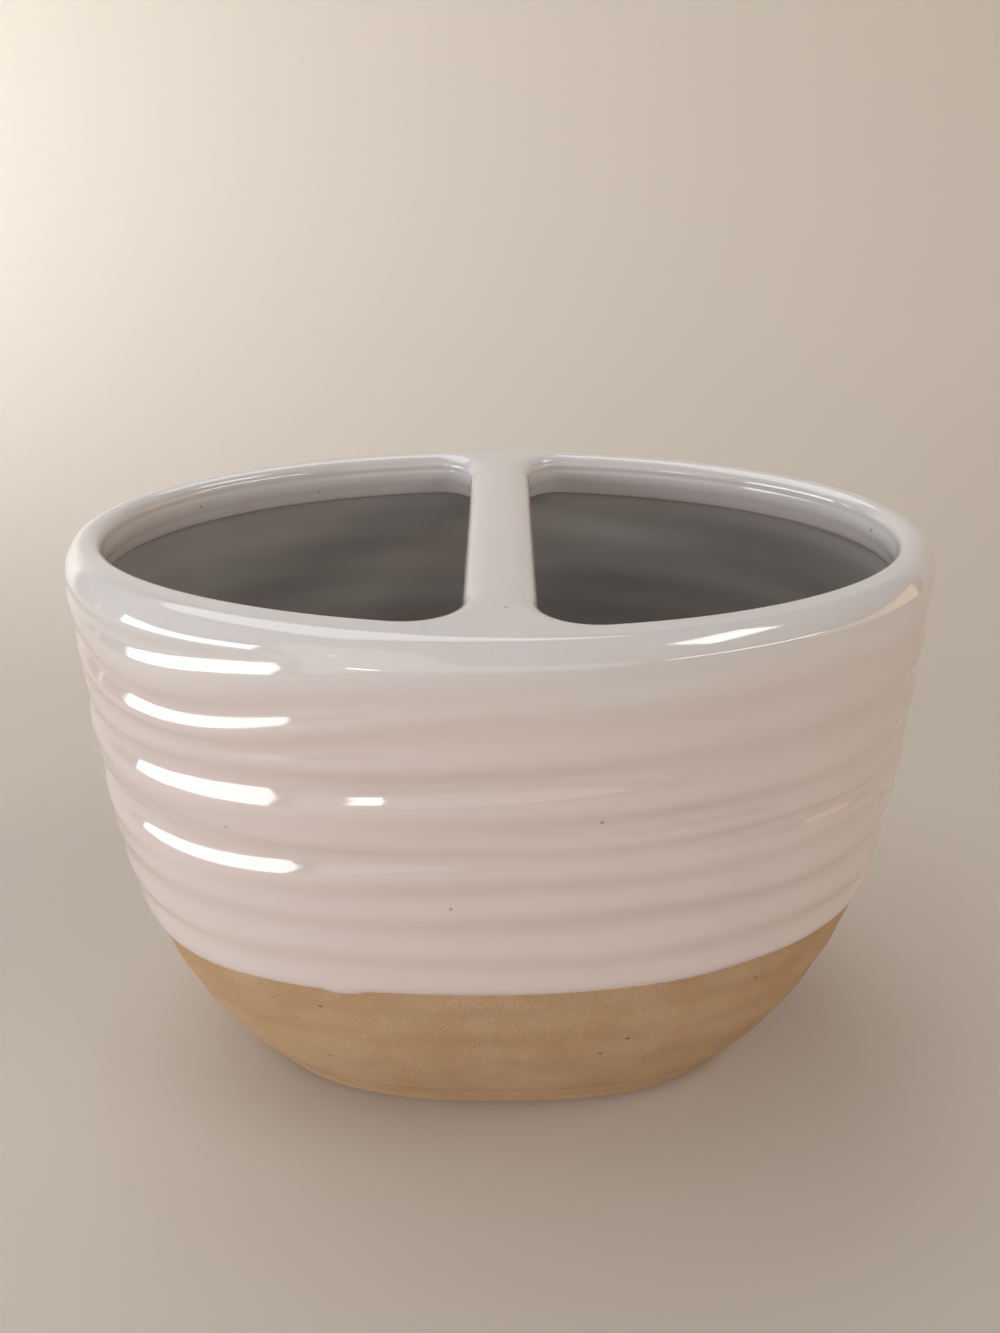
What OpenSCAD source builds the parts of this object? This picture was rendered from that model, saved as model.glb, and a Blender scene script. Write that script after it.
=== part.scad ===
// Oval stoneware toothbrush holder: a thrown wall with finger rings on a flat
// base slab, closed above by a thick lip with a divider bar luted across it.
// A glossy cream glaze covers the lip, the bar, the inside and the upper wall.
// The lower wall and the base stay bare clay.
// All sizes are in millimetres. The origin is at the middle of the base.

/* [Body] */
// Width of the holder across its belly, along X
body_w = 121; // [100:1:160]
// Depth of the holder across its belly, along Y
body_d = 75; // [62:1:110]
// Height from the table to the top of the lip
body_h = 87; // [70:1:120]
// Width of the holder where the wall meets the table
foot_w = 80; // [60:1:95]
// How full the belly is, where a higher number swells lower down
belly_power = 3.4; // [2.4:0.1:4.5]
// How far the foot's front and back run straight, each way from the middle
foot_flat_w = 8; // [2:0.5:14]
// How far the foot's sides run straight, each way from the middle
foot_flat_d = 7.2; // [2:0.2:10]
// Thickness of the clay wall
wall_t = 3.5; // [2.5:0.1:5]
// Thickness of the clay base
base_t = 6; // [4:0.5:9]
// Radius of the cove where the inside meets the floor
cove_r = 6; // [3:0.5:10]
// Radius of the wiped edge under the base
foot_edge_r = 2.4; // [1:0.2:4]

/* [Finger rings] */
// Depth of a finger ring in the wall
ring_depth = 0.7; // [0.2:0.1:1.2]
// Half width of a finger ring
ring_half = 2.3; // [1.6:0.1:3.5]

/* [Lip] */
// Width of the glazed lip seen from above
lip_w = 5.3; // [4.6:0.1:8]
// Height of the glazed lip
lip_t = 6.8; // [5:0.1:10]
// Radius of the lip's outer top edge
lip_outer_r = 2.6; // [1.2:0.1:3.2]
// Radius of the lip's inner top edge
lip_inner_r = 1.2; // [0.6:0.1:1.6]

/* [Divider bar] */
// Width of the glazed bar at its middle
bar_w = 9.2; // [7:0.1:14]
// Height of the glazed bar
bar_t = 6.8; // [5:0.1:9]
// Radius of the bar's long edges
bar_edge_r = 1.8; // [0.8:0.1:2.2]
// How far the bar widens at each end, on each side
flare_w = 5.5; // [2:0.1:6]
// Length of each widening end
flare_len = 7; // [3:0.1:8]

/* [Glaze] */
// Thickness of the glaze coats
glaze_t = 0.5; // [0.3:0.1:0.8]
// Height of the lower edge of the outer glaze
glaze_z = 33.5; // [20:0.5:45]
// Height of the roll of glaze along that lower edge
glaze_roll = 1.4; // [1:0.1:3]

/* [Hidden] */

// Past a face that a cut goes through
overrun = 1;
// Steps round a turned form, up the wall, round an edge and along the bar
turn_steps = 96;
wall_steps = 60;
hollow_steps = 15;
edge_steps = 6;
bar_steps = 12;
flare_steps = 7;

// How much of the foot's straight stretches is left at the mouth
mouth_flat_share = 0.16;
// How much of a quarter turn each flare of the bar sweeps through
flare_sweep_share = 0.92;
// Thickness of the outer glaze at its lower edge, as a share of the coat
roll_start_share = 0.35;

// Heights of the finger rings, as shares of the body height, and how deep
// each is beside ring_depth and how wide beside ring_half
ring_height_share = [0.07, 0.17, 0.268, 0.345, 0.452, 0.531, 0.601, 0.669, 0.715, 0.792, 0.876];
ring_depth_share = [0.35, 0.45, 0.5, 0.55, 0.75, 0.85, 0.7, 1, 0.8, 0.9, 0.75];
ring_width_share = [1.1, 1.1, 1, 1, 1, 1, 0.85, 0.6, 0.9, 1.1, 1.2];

// Colours of the bare clay and of the glaze
clay_colour = [0.66, 0.53, 0.41];
glaze_colour = [0.87, 0.82, 0.79];

half_w = body_w / 2;
half_d = body_d / 2;
lip_z = body_h - lip_t;
floor_z = base_t;
// How fast the straight stretches of the plan shrink on the way up
lean_w = foot_flat_w * (1 - mouth_flat_share) / body_h;
lean_d = foot_flat_d * (1 - mouth_flat_share) / body_h;

// Half width of the belly without rings, at a height z
function belly(z) = foot_w / 2 + (half_w - foot_w / 2) * (1 - pow(max(0, 1 - z / body_h), belly_power));

// Total depth of the finger rings at a height z
function ring_cut(z) = ring_depth * ring_sum(z, 0);
function ring_sum(z, i) = i >= len(ring_height_share) ? 0 :
    ring_depth_share[i] * exp(-pow((z - ring_height_share[i] * body_h)
        / (ring_half * ring_width_share[i]), 2)) + ring_sum(z, i + 1);

// Half width of the wall's outside, a given inset under the glazed surface
function outside(z, inset) = belly(z) - ring_cut(z) - inset;

// Half width of the hollow in the clay at a height z, less a given coat,
// with the cove that rounds it into the floor
function hollow(z, coat) = belly(z) - glaze_t - wall_t - coat
    - cove(z - floor_z - coat, cove_r - coat);
function cove(up, r) = up >= r ? 0 : r - sqrt(max(0, r * r - pow(r - up, 2)));

// Heights from one to another, in even steps
function heights(from, to, steps) = [for (i = [0:steps]) from + (to - from) * i / steps];

// Half width and half depth of the opening in the lip, with its coat taken off
function mouth_w(inset) = half_w - lip_w + inset;
function mouth_d(inset) = half_d - lip_w + inset;

// Half lengths of the plan's straight stretches at a height z, along the front
// and back and along the sides, so that the plan grows squarer towards the foot
function flat_w(z) = foot_flat_w - lean_w * z;
function flat_d(z) = foot_flat_d - lean_d * z;

// Depth of the plan's round corners beside their width, where the plan at the
// mouth has a half width w and a half depth d
function corner_ratio(w, d) = (d - flat_d(body_h)) / (w - flat_w(body_h));

// A closed solid of a squared oval plan, from an outline of half widths and
// heights, in four mirrored quarters
module oval(w, d, outline) {
    for (x = [0, 1], y = [0, 1])
        mirror([x, 0, 0]) mirror([0, y, 0]) oval_quarter(corner_ratio(w, d), outline);
}

// One quarter of it: a turned corner that leans out from the middle towards the
// foot, with the same outline drawn straight on from both its ends to the axes
module oval_quarter(ratio, outline) {
    last = len(outline) - 1;
    low = outline[0].y;
    high = outline[last].y;
    reach_w = foot_flat_w + overrun;
    reach_d = foot_flat_d / ratio + overrun;
    corner = [for (p = outline) [p.x - flat_w(p.y), p.y]];
    intersection() {
        multmatrix([[1, 0, -lean_w, foot_flat_w], [0, ratio, -lean_d, foot_flat_d], [0, 0, 1, 0]]) {
            rotate_extrude(angle = 90, $fn = turn_steps) polygon(concat([[0, low]], corner, [[0, high]]));
            rotate([90, 0, 0]) linear_extrude(reach_d)
                polygon(concat([[-reach_w, low]], corner, [[-reach_w, high]]));
            translate([-reach_w, 0, 0]) rotate([90, 0, 90]) linear_extrude(reach_w)
                polygon(concat([[0, low]], corner, [[0, high]]));
        }
        translate([0, 0, low]) cube([body_w, body_w, high - low]);
    }
}

// The outside of the pot from a height up to the lip, under an inset, and
// straight on past the lip's lower face where it is a cut
module outside_form(from, inset, past = 0) {
    oval(half_w - inset, half_d - inset, concat(
        [for (z = heights(from, lip_z, ceil(wall_steps * (lip_z - from) / body_h)))
            [outside(z, inset), z]],
        past > 0 ? [[outside(lip_z, inset), lip_z + past]] : []));
}

// The hollow inside the clay up to the lip, less a given coat, and straight
// on past the lip's lower face where it is a cut
module hollow_form(coat, past = 0) {
    low = floor_z + coat;
    bend = floor_z + cove_r;
    oval(half_w - glaze_t - wall_t - coat, half_d - glaze_t - wall_t - coat, concat(
        [for (i = [0:edge_steps - 1])
            let (z = bend - (bend - low) * cos(90 * i / edge_steps))
            [hollow(z, coat), z]],
        [for (z = heights(bend, lip_z, hollow_steps)) [hollow(z, coat), z]],
        past > 0 ? [[hollow(lip_z, coat), lip_z + past]] : []));
}

// The opening through the lip, flared at the top by the lip's inner edge
module mouth_form(inset) {
    top = body_h - inset;
    oval(mouth_w(inset), mouth_d(inset), concat([[mouth_w(inset), lip_z - overrun]],
        [for (i = [0:edge_steps])
            [mouth_w(inset) + lip_inner_r * (1 - cos(90 * i / edge_steps)),
             top - lip_inner_r * (1 - sin(90 * i / edge_steps))]],
        [[mouth_w(inset) + lip_inner_r, top + overrun]]));
}

// The lip under an inset: its round outer edge, and the opening through it
module lip_form(inset) {
    top = body_h - inset;
    bend = top - lip_outer_r;
    difference() {
        oval(half_w - inset, half_d - inset, concat(
            [for (z = heights(lip_z, bend, edge_steps)) [outside(z, inset), z]],
            [for (i = [1:edge_steps])
                [outside(bend, inset) - lip_outer_r * (1 - cos(90 * i / edge_steps)),
                 bend + lip_outer_r * sin(90 * i / edge_steps)]]));
        mouth_form(inset);
    }
}

// Flat base slab with its lower edge wiped round
module base_slab() {
    inset = glaze_t;
    color(clay_colour) oval(half_w - inset, half_d - inset, concat(
        [for (i = [0:edge_steps])
            [outside(foot_edge_r, inset) - foot_edge_r * (1 - sin(90 * i / edge_steps)),
             foot_edge_r * (1 - cos(90 * i / edge_steps))]],
        [for (z = heights(foot_edge_r, base_t, edge_steps)) if (z > foot_edge_r) [outside(z, inset), z]]));
}

// Thrown wall that stands on the base slab
module body_wall() {
    color(clay_colour) difference() {
        outside_form(base_t, glaze_t);
        hollow_form(0, overrun);
    }
}

// Thick lip that closes the wall's top and overhangs the inside
module rim_lip() {
    color(clay_colour) lip_form(glaze_t);
}

// How far the bar has widened at a distance from the lip, and its half width
// at a share of the way from its middle to an end
function flare_at(up) = flare_w * (1 - sqrt(1 - pow(flare_sweep_share * max(0, min(1, 1 - up / flare_len)), 2)));
function bar_half(share, inset) = bar_w / 2 - inset + flare_at((1 - abs(share)) * mouth_d(0));

// How far the lip's inner edge has opened out at a height z, under an inset
function mouth_grow(z, inset) = let (up = max(0, z - (body_h - inset - lip_inner_r)) / lip_inner_r)
    lip_inner_r * (1 - sqrt(max(0, 1 - min(1, up) * min(1, up))));

// Half depth of the lip's clay edge at a distance x from the middle, at a height z
function lip_edge(x, z) = flat_d(z) + corner_ratio(mouth_w(glaze_t), mouth_d(glaze_t))
    * sqrt(pow(mouth_w(glaze_t) + mouth_grow(z, glaze_t) - flat_w(z), 2) - pow(max(0, abs(x) - flat_w(z)), 2));

// Places along the bar, as shares of the way from its middle to its ends
flare_share = flare_len / mouth_d(0);
bar_place_share = concat(
    [for (i = [0:flare_steps]) -1 + flare_share * i / flare_steps],
    [for (i = [0:flare_steps]) 1 - flare_share * (1 - i / flare_steps)]);

// One round-edged section of the bar, bent to the lip's curve as it nears it
function bar_ring(share, inset) = [for (corner = [0:3], i = [0:edge_steps])
    let (turn = 90 * (corner + i / edge_steps),
         r = bar_edge_r - inset,
         side_x = corner == 0 || corner == 3 ? 1 : -1,
         side_z = corner < 2 ? 1 : -1,
         x = side_x * (bar_half(share, inset) - r) + r * cos(turn),
         z = body_h - bar_t / 2 + side_z * (bar_t / 2 - inset - r) + r * sin(turn))
    [x, share * lip_edge(x, z), z]];

ring_points = 4 * (edge_steps + 1);
ring_count = len(bar_place_share);

// Triangles of the skin through the rings of points that start at first,
// turned inside out where they line a hollow
function skin_faces(first, inside) = [for (k = [0:ring_count - 2], i = [0:ring_points - 1], half = [0:1])
    let (a = first + k * ring_points + i,
         b = first + k * ring_points + (i + 1) % ring_points,
         c = b + ring_points,
         d = a + ring_points,
         face = half == 0 ? [a, b, c] : [a, c, d])
    inside ? [face[2], face[1], face[0]] : face];

// Triangles that close one end, from the middle point to the ring of points
function end_faces(first, middle, near) = [for (i = [0:ring_points - 1])
    let (a = first + i, b = first + (i + 1) % ring_points)
    near ? [b, a, middle] : [a, b, middle]];

// Triangles that close one end of a coat, between its outer and inner rings
function rim_faces(outer, inner, near) = [for (i = [0:ring_points - 1], half = [0:1])
    let (a = outer + i,
         b = outer + (i + 1) % ring_points,
         c = inner + (i + 1) % ring_points,
         d = inner + i,
         face = half == 0 ? [a, b, c] : [a, c, d])
    near ? [face[2], face[1], face[0]] : face];

function bar_points(inset) = [for (share = bar_place_share) each bar_ring(share, inset)];

// Clay of the bar, under its coat
module divider_bar() {
    last = (ring_count - 1) * ring_points;
    middle_z = body_h - bar_t / 2;
    color(clay_colour) polyhedron(
        points = concat(bar_points(glaze_t),
            [[0, -lip_edge(0, middle_z), middle_z], [0, lip_edge(0, middle_z), middle_z]]),
        faces = concat(skin_faces(0, false),
            end_faces(0, ring_count * ring_points, true),
            end_faces(last, ring_count * ring_points + 1, false)));
}

// Glaze that wraps the bar from lip to lip
module bar_glaze() {
    total = ring_count * ring_points;
    last = total - ring_points;
    color(glaze_colour) polyhedron(
        points = concat(bar_points(0), bar_points(glaze_t)),
        faces = concat(skin_faces(0, false), skin_faces(total, true),
            rim_faces(0, total, true), rim_faces(last, total + last, false)));
}

// Plan of one end of the glazed bar out to where the lip's top begins
module bar_end_plan() {
    end_w = bar_half(1, 0);
    polygon(concat(
        [for (i = [0:flare_steps])
            let (share = 1 - flare_share * (1 - i / flare_steps))
            [bar_half(share, 0), share * lip_edge(bar_half(share, 0), lip_z)]],
        [for (i = [0:bar_steps])
            let (x = end_w * (1 - 2 * i / bar_steps))
            [x, lip_edge(x, body_h)]],
        [for (i = [flare_steps:-1:0])
            let (share = 1 - flare_share * (1 - i / flare_steps))
            [-bar_half(share, 0), share * lip_edge(bar_half(share, 0), lip_z)]]));
}

// Glaze over the lip, left open where the bar's own coat meets it
module lip_glaze() {
    color(glaze_colour) difference() {
        lip_form(0);
        lip_form(glaze_t);
        for (side = [0, 1])
            mirror([0, side, 0]) translate([0, 0, lip_z - overrun])
                linear_extrude(lip_t + 2 * overrun) bar_end_plan();
    }
}

// Glaze on the outside of the wall, down to a small roll above the bare clay
module outer_glaze() {
    color(glaze_colour) difference() {
        oval(half_w, half_d, concat(
            [for (i = [0:edge_steps - 1])
                let (z = glaze_z + glaze_roll * (1 - cos(90 * i / edge_steps)))
                [outside(z, glaze_t * (1 - roll_start_share) * (1 - sin(90 * i / edge_steps))), z]],
            [for (z = heights(glaze_z + glaze_roll, lip_z, ceil(wall_steps * (lip_z - glaze_z) / body_h)))
                [outside(z, 0), z]]));
        outside_form(base_t, glaze_t, overrun);
    }
}

// Glaze over the inside of the wall and the floor
module liner_glaze() {
    color(glaze_colour) difference() {
        hollow_form(0);
        hollow_form(glaze_t, overrun);
    }
}

base_slab();
body_wall();
rim_lip();
divider_bar();
outer_glaze();
lip_glaze();
bar_glaze();
liner_glaze();
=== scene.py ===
import logging
import math
from dataclasses import dataclass, field
from enum import Enum

import bpy
import numpy as np
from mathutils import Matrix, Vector
from mathutils.geometry import delaunay_2d_cdt


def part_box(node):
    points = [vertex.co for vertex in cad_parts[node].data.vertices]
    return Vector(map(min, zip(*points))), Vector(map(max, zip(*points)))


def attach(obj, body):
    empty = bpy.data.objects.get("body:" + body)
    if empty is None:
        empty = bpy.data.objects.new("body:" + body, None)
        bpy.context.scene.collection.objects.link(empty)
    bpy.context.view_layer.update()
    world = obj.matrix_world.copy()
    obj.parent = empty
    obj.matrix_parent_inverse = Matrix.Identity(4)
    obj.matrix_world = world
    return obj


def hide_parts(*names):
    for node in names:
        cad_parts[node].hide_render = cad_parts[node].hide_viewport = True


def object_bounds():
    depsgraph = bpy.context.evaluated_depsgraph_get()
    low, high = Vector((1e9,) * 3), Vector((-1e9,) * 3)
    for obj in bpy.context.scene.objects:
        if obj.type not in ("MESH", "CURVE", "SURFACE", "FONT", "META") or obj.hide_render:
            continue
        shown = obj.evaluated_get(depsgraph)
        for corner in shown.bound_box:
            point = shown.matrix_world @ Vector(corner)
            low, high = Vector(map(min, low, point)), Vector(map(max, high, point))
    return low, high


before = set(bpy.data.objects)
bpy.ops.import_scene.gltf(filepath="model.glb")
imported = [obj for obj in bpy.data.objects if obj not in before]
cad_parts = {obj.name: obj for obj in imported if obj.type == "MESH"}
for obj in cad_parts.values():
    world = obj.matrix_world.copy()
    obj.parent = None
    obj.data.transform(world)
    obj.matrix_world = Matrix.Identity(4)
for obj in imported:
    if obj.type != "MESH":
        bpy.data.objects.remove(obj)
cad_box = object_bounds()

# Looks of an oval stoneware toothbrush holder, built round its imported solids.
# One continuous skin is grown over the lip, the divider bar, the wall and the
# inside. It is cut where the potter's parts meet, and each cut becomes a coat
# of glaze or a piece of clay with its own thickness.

LOG = logging.getLogger("toothbrush_holder")
MM = 0.001
TURN = 2 * math.pi
QUARTER = math.pi / 2
# A point above this share belongs wholly to the bar.
FULL_SHARE = 0.999
# Points nearer to each other than this, in metres, are one.
SAME_PLACE = 1e-9
# A normal's length is never divided by less than this.
TINY = 1e-12

Array = np.ndarray
Triple = tuple[float, float, float]
Colour = Triple
Faces = list[tuple[int, ...]]
Node = bpy.types.Node
Piece = bpy.types.Object
Socket = bpy.types.NodeSocket


class Part(Enum):
    """Parts that the continuous skin is cut into."""

    OUTER = "outer_glaze"
    LIP = "lip_glaze"
    BAR = "bar_glaze"
    LINER = "liner_glaze"


class Slot(Enum):
    """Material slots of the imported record."""

    CLAY = "bare_clay"
    GLAZE = "cream_glaze"


def bell(place: Array, middle: Array | float, reach: Array | float, power: float = 2.0) -> Array:
    """A bell curve over places, from 0 to 1.

    Args:
        place: The places.
        middle: Where the curve is 1.
        reach: How far it reaches to each side.
        power: How square its shoulders are.

    Returns:
        Its value at each place.
    """
    return np.exp(-np.abs((place - middle) / reach) ** power)


def steps(count: int) -> Array:
    """Even steps, from the first one's share up to 1."""
    return np.arange(1, count + 1) / count


def arch(share: float) -> float:
    """A soft arch: 0 at both ends of a stretch and 1 in its middle."""
    return math.sin(math.pi * share) ** 2


def eased(share: Array) -> Array:
    """Shares that start and end gently."""
    return share * share * (3 - 2 * share)


def raised(flat: Array, z: float) -> Array:
    """Flat points at a height."""
    return np.column_stack([flat, np.full(len(flat), z)])


def linked(name: str, data: bpy.types.ID) -> Piece:
    """Makes an object and links it to the scene.

    Args:
        name: Name of the object.
        data: Its mesh, camera or light.

    Returns:
        The object.
    """
    made = bpy.data.objects.new(name, data)
    bpy.context.scene.collection.objects.link(made)
    return made


@dataclass(frozen=True)
class Wave:
    """A sine wave round the pot: its swing, how many fit in a turn, and its phase in radians."""

    swing: float
    count: int
    phase: float = 0.0

    def at(self, turn: Array, times: int = 1) -> Array:
        """Its value at each angle, with the phase taken a number of times."""
        return self.swing * np.sin(self.count * turn + self.phase * times)


@dataclass(frozen=True)
class Sizes:
    """Sizes of the holder in metres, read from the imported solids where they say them."""

    half_width: float
    half_depth: float
    height: float
    lip_floor: float
    base_top: float
    glaze_line: float
    foot_half_width: float = 40 * MM
    foot_depth_gain: float = 0.045
    foot_squareness: float = 0.62
    belly_power: float = 3.9
    belly_swell: float = 0.63 * MM
    coat: float = 0.5 * MM
    clay_wall: float = 3.5 * MM
    cove: float = 6 * MM
    inner_ring_depth: float = 0.12 * MM
    inner_ring_pitch: float = 6.3 * MM
    lip_width: float = 5.3 * MM
    lip_outer_round: float = 3.2 * MM
    lip_inner_round: float = 2.0 * MM
    lip_outer_drop: float = 3.2 * MM
    lip_end_drop: float = 0.6 * MM
    lip_climb: float = 1.6 * MM
    lip_inner_drop: float = 2.1 * MM
    lip_under_round: float = 0.6 * MM
    left_lip_extra: float = 2.1 * MM
    right_lip_extra: float = 1.4 * MM
    bar_half_width: float = 4.6 * MM
    bar_crown: float = 3.9 * MM
    front_fillet: float = 7.2 * MM
    back_fillet: float = 5.6 * MM
    hand_slack: float = 0.3 * MM
    hand_sway: float = 0.1 * MM

    @classmethod
    def from_frame(cls) -> "Sizes":
        """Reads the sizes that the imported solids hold.

        Returns:
            The sizes, with the hand's wobble and the swell taken off the outside.
        """
        low, high = cad_box
        return cls(
            half_width=(high.x - low.x) / 2 - cls.hand_sway,
            half_depth=(high.y - low.y) / 2 - cls.hand_sway - cls.belly_swell,
            height=high.z - cls.hand_slack,
            lip_floor=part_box("rim_lip")[0].z,
            base_top=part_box("base_slab")[1].z,
            glaze_line=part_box("outer_glaze")[0].z,
        )


@dataclass(frozen=True)
class Grooves:
    """The groove where it passes one side, turn by turn.

    Heights and widths are in millimetres, and shares are of the full depth.
    """

    heights: tuple[float, ...]
    shares: tuple[float, ...]
    widths: tuple[float, ...]


FRONT_GROOVES = Grooves(
    heights=(5, 13.5, 21.5, 28.5, 33, 39.2, 46, 52.3, 58, 62, 69, 76.2, 81.6, 86, 93),
    shares=(0.2, 0.3, 0.35, 0.5, 0.2, 0.55, 0.8, 0.65, 1, 0.85, 0.95, 0.75, 0.3, 0, 0),
    widths=(2.2, 2.4, 2.2, 2, 1.6, 2, 2.4, 2, 1.35, 1.9, 2.4, 2.6, 1.4, 1.2, 1.2),
)
LEFT_GROOVES = Grooves(
    heights=(4, 12.5, 20, 26.5, 31, 36.7, 43, 48, 54, 58.5, 64.4, 68.6, 73.4, 80.8, 92),
    shares=(0.2, 0.3, 0.35, 0.5, 0.3, 0.7, 0.9, 0.4, 2.3, 0.3, 2, 1, 1.5, 1.1, 0),
    widths=(2.2, 2.4, 2.2, 2, 1.6, 2, 2.4, 1.8, 2.9, 1.8, 2.4, 1.5, 2, 1.5, 1.2),
)


@dataclass(frozen=True)
class ThrowingSpiral:
    """Finger rings left by throwing: one groove that climbs round the wall.

    It is given where it passes the middle of the front and the left front, which
    was pressed by hand. Each turn blends into the next on the way round. Turns
    are in radians.
    """

    front: Grooves = FRONT_GROOVES
    left: Grooves = LEFT_GROOVES
    depth: float = 0.7 * MM
    front_turn: float = 0.75 * TURN
    left_turn: float = 3.87
    left_reach: float = 0.62
    left_calm: float = 0.5
    roundness: float = 2.1
    climbing: Wave = Wave(0.2 * MM, 8, 1.9)
    widening: Wave = Wave(0.1, 6, 2.7)
    deepening: tuple[Wave, Wave] = (Wave(0.22, 2, 1.7), Wave(0.14, 5, 2.3))

    def relief(self, turn: Array, z: Array) -> Array:
        """Depth of the groove under the smooth wall.

        Args:
            turn: Angle round the wall, from 0 to a full turn.
            z: Height above the table, in metres.

        Returns:
            Depth in metres, one value for each place.
        """
        front, left = self.front, self.left
        pressed = bell(turn, self.left_turn, self.left_reach)
        total = np.zeros_like(z)
        for start in range(-1, len(front.heights) + 1):
            along = start + turn / TURN
            height = self.blend(along, pressed, front.heights, left.heights) * MM
            height = height + self.climbing.at(turn, start)
            width = self.blend(along, pressed, front.widths, left.widths) * MM
            width = width * (1 + self.widening.at(turn, start))
            share = self.blend(along, pressed, front.shares, left.shares, 0.0)
            sway = sum(wave.at(turn, start) for wave in self.deepening)
            share = share * (1 + (1 - self.left_calm * pressed) * sway)
            total = total + share * bell(z, height, width, self.roundness)
        return self.depth * total

    def blend(self, along: Array, pressed: Array, front: tuple[float, ...], left: tuple[float, ...],
              beyond: float | None = None) -> Array:
        """A value of the groove, between what it is at the front and at the left.

        Args:
            along: Turns that the groove has climbed, at each angle.
            pressed: Share of the left front's value, at each angle.
            front: Values at the middle of the front, turn by turn.
            left: Values at the left front.
            beyond: Value before the first and after the last turn, or None for theirs.

        Returns:
            The values, one for each angle.
        """
        turns = np.arange(len(front))
        at_front = np.interp(along, turns + self.front_turn / TURN, front, left=beyond, right=beyond)
        at_left = np.interp(along, turns + self.left_turn / TURN, left, left=beyond, right=beyond)
        return at_front + pressed * (at_left - at_front)


@dataclass(frozen=True)
class DippedEdge:
    """Lower edge of the dipped glaze: tilted and wavy, with one short run at the front.

    The glaze ends in a low roll, pools just above it and is thin at the very edge.
    """

    waves: tuple[Wave, ...] = (Wave(0.28 * MM, 3, 0.6), Wave(0.16 * MM, 7, 2.0), Wave(0.08 * MM, 17))
    tilt: float = 0.055
    run_place: float = -18.5 * MM
    run_reach: float = 2.6 * MM
    run_squareness: float = 3.0
    run_length: float = 0.75 * MM
    roll: float = 1.5 * MM
    roll_sink: float = 1.02
    bead: float = 0.16 * MM
    bead_place: float = 1.5 * MM
    bead_reach: float = 1.2 * MM
    # Darkening in the grooves: glaze that pools there, with painted shade.
    groove_pool_and_shade: float = 0.9
    edge_pool: float = 0.6
    pool_place: float = 1.2 * MM
    pool_reach: float = 1.4 * MM
    thin_reach: float = 0.6875 * MM

    def rise(self, turn: Array, x: Array) -> Array:
        """How far the edge lies above its line, at angles and at places across."""
        run = np.where(np.sin(turn) < 0, bell(x, self.run_place, self.run_reach, self.run_squareness), 0)
        return self.tilt * x + sum(wave.at(turn) for wave in self.waves) - self.run_length * run

    def inset(self, above: Array, coat: float) -> Array:
        """How far the roll lies under the full coat, at distances above the edge."""
        sunk = 1 - np.sqrt(np.maximum(0, 1 - (1 - np.clip(above / self.roll, 0, 1)) ** 2))
        return self.roll_sink * coat * sunk - self.bead * bell(above, self.bead_place, self.bead_reach)

    def pool(self, above: Array, groove: Array) -> Array:
        """How much the glaze gathers above the edge, and how much it pools with painted shade in the
        groove, from 0 to 1.
        """
        gathered = self.edge_pool * bell(above, self.pool_place, self.pool_reach)
        return np.clip(self.groove_pool_and_shade * groove + gathered, 0, 1)

    def thin(self, above: Array) -> Array:
        """How thin the glaze breaks at distances above the edge, from 0 to 1."""
        return np.clip(1 - above / self.thin_reach, 0, 1)


@dataclass(frozen=True)
class HandMarks:
    """The slow wobble of a pot altered by hand, and the heap where the bar was luted on."""

    across: Wave = Wave(1.0, 2, 0.8)
    along: Wave = Wave(1.0, 3, 0.4)
    rises: tuple[Wave, Wave] = (Wave(0.4675, 2, 0.9), Wave(0.255, 3, 2.1))
    heap: float = 0.9
    heap_place: float = 35 * MM
    heap_width: float = 7 * MM
    heap_depth: float = 5 * MM
    settled: float = 0.1

    def move(self, points: Array, sizes: Sizes) -> Array:
        """Moves points by the wobble.

        Args:
            points: Points of any piece.
            sizes: Sizes of the holder.

        Returns:
            The moved points.
        """
        x, y, z = points.T
        turn = np.arctan2(y / sizes.half_depth, x / sizes.half_width)
        away = np.clip(np.hypot(y / sizes.half_depth, x / sizes.half_width), 0, 1)
        lift = np.clip(z / sizes.height, 0, 1) ** 2 * away**2
        out = points.copy()
        out[:, 0] += sizes.hand_sway * lift * self.across.at(turn) * np.cos(turn)
        out[:, 1] += sizes.hand_sway * lift * self.along.at(turn) * np.sin(turn)
        heap = bell(x, 0, self.heap_width) * bell(y, self.heap_place, self.heap_depth)
        rise = sum(wave.at(turn) for wave in self.rises)
        out[:, 2] += sizes.hand_slack * lift * (rise * (1 - heap) + self.heap * heap - self.settled)
        return out


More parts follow.
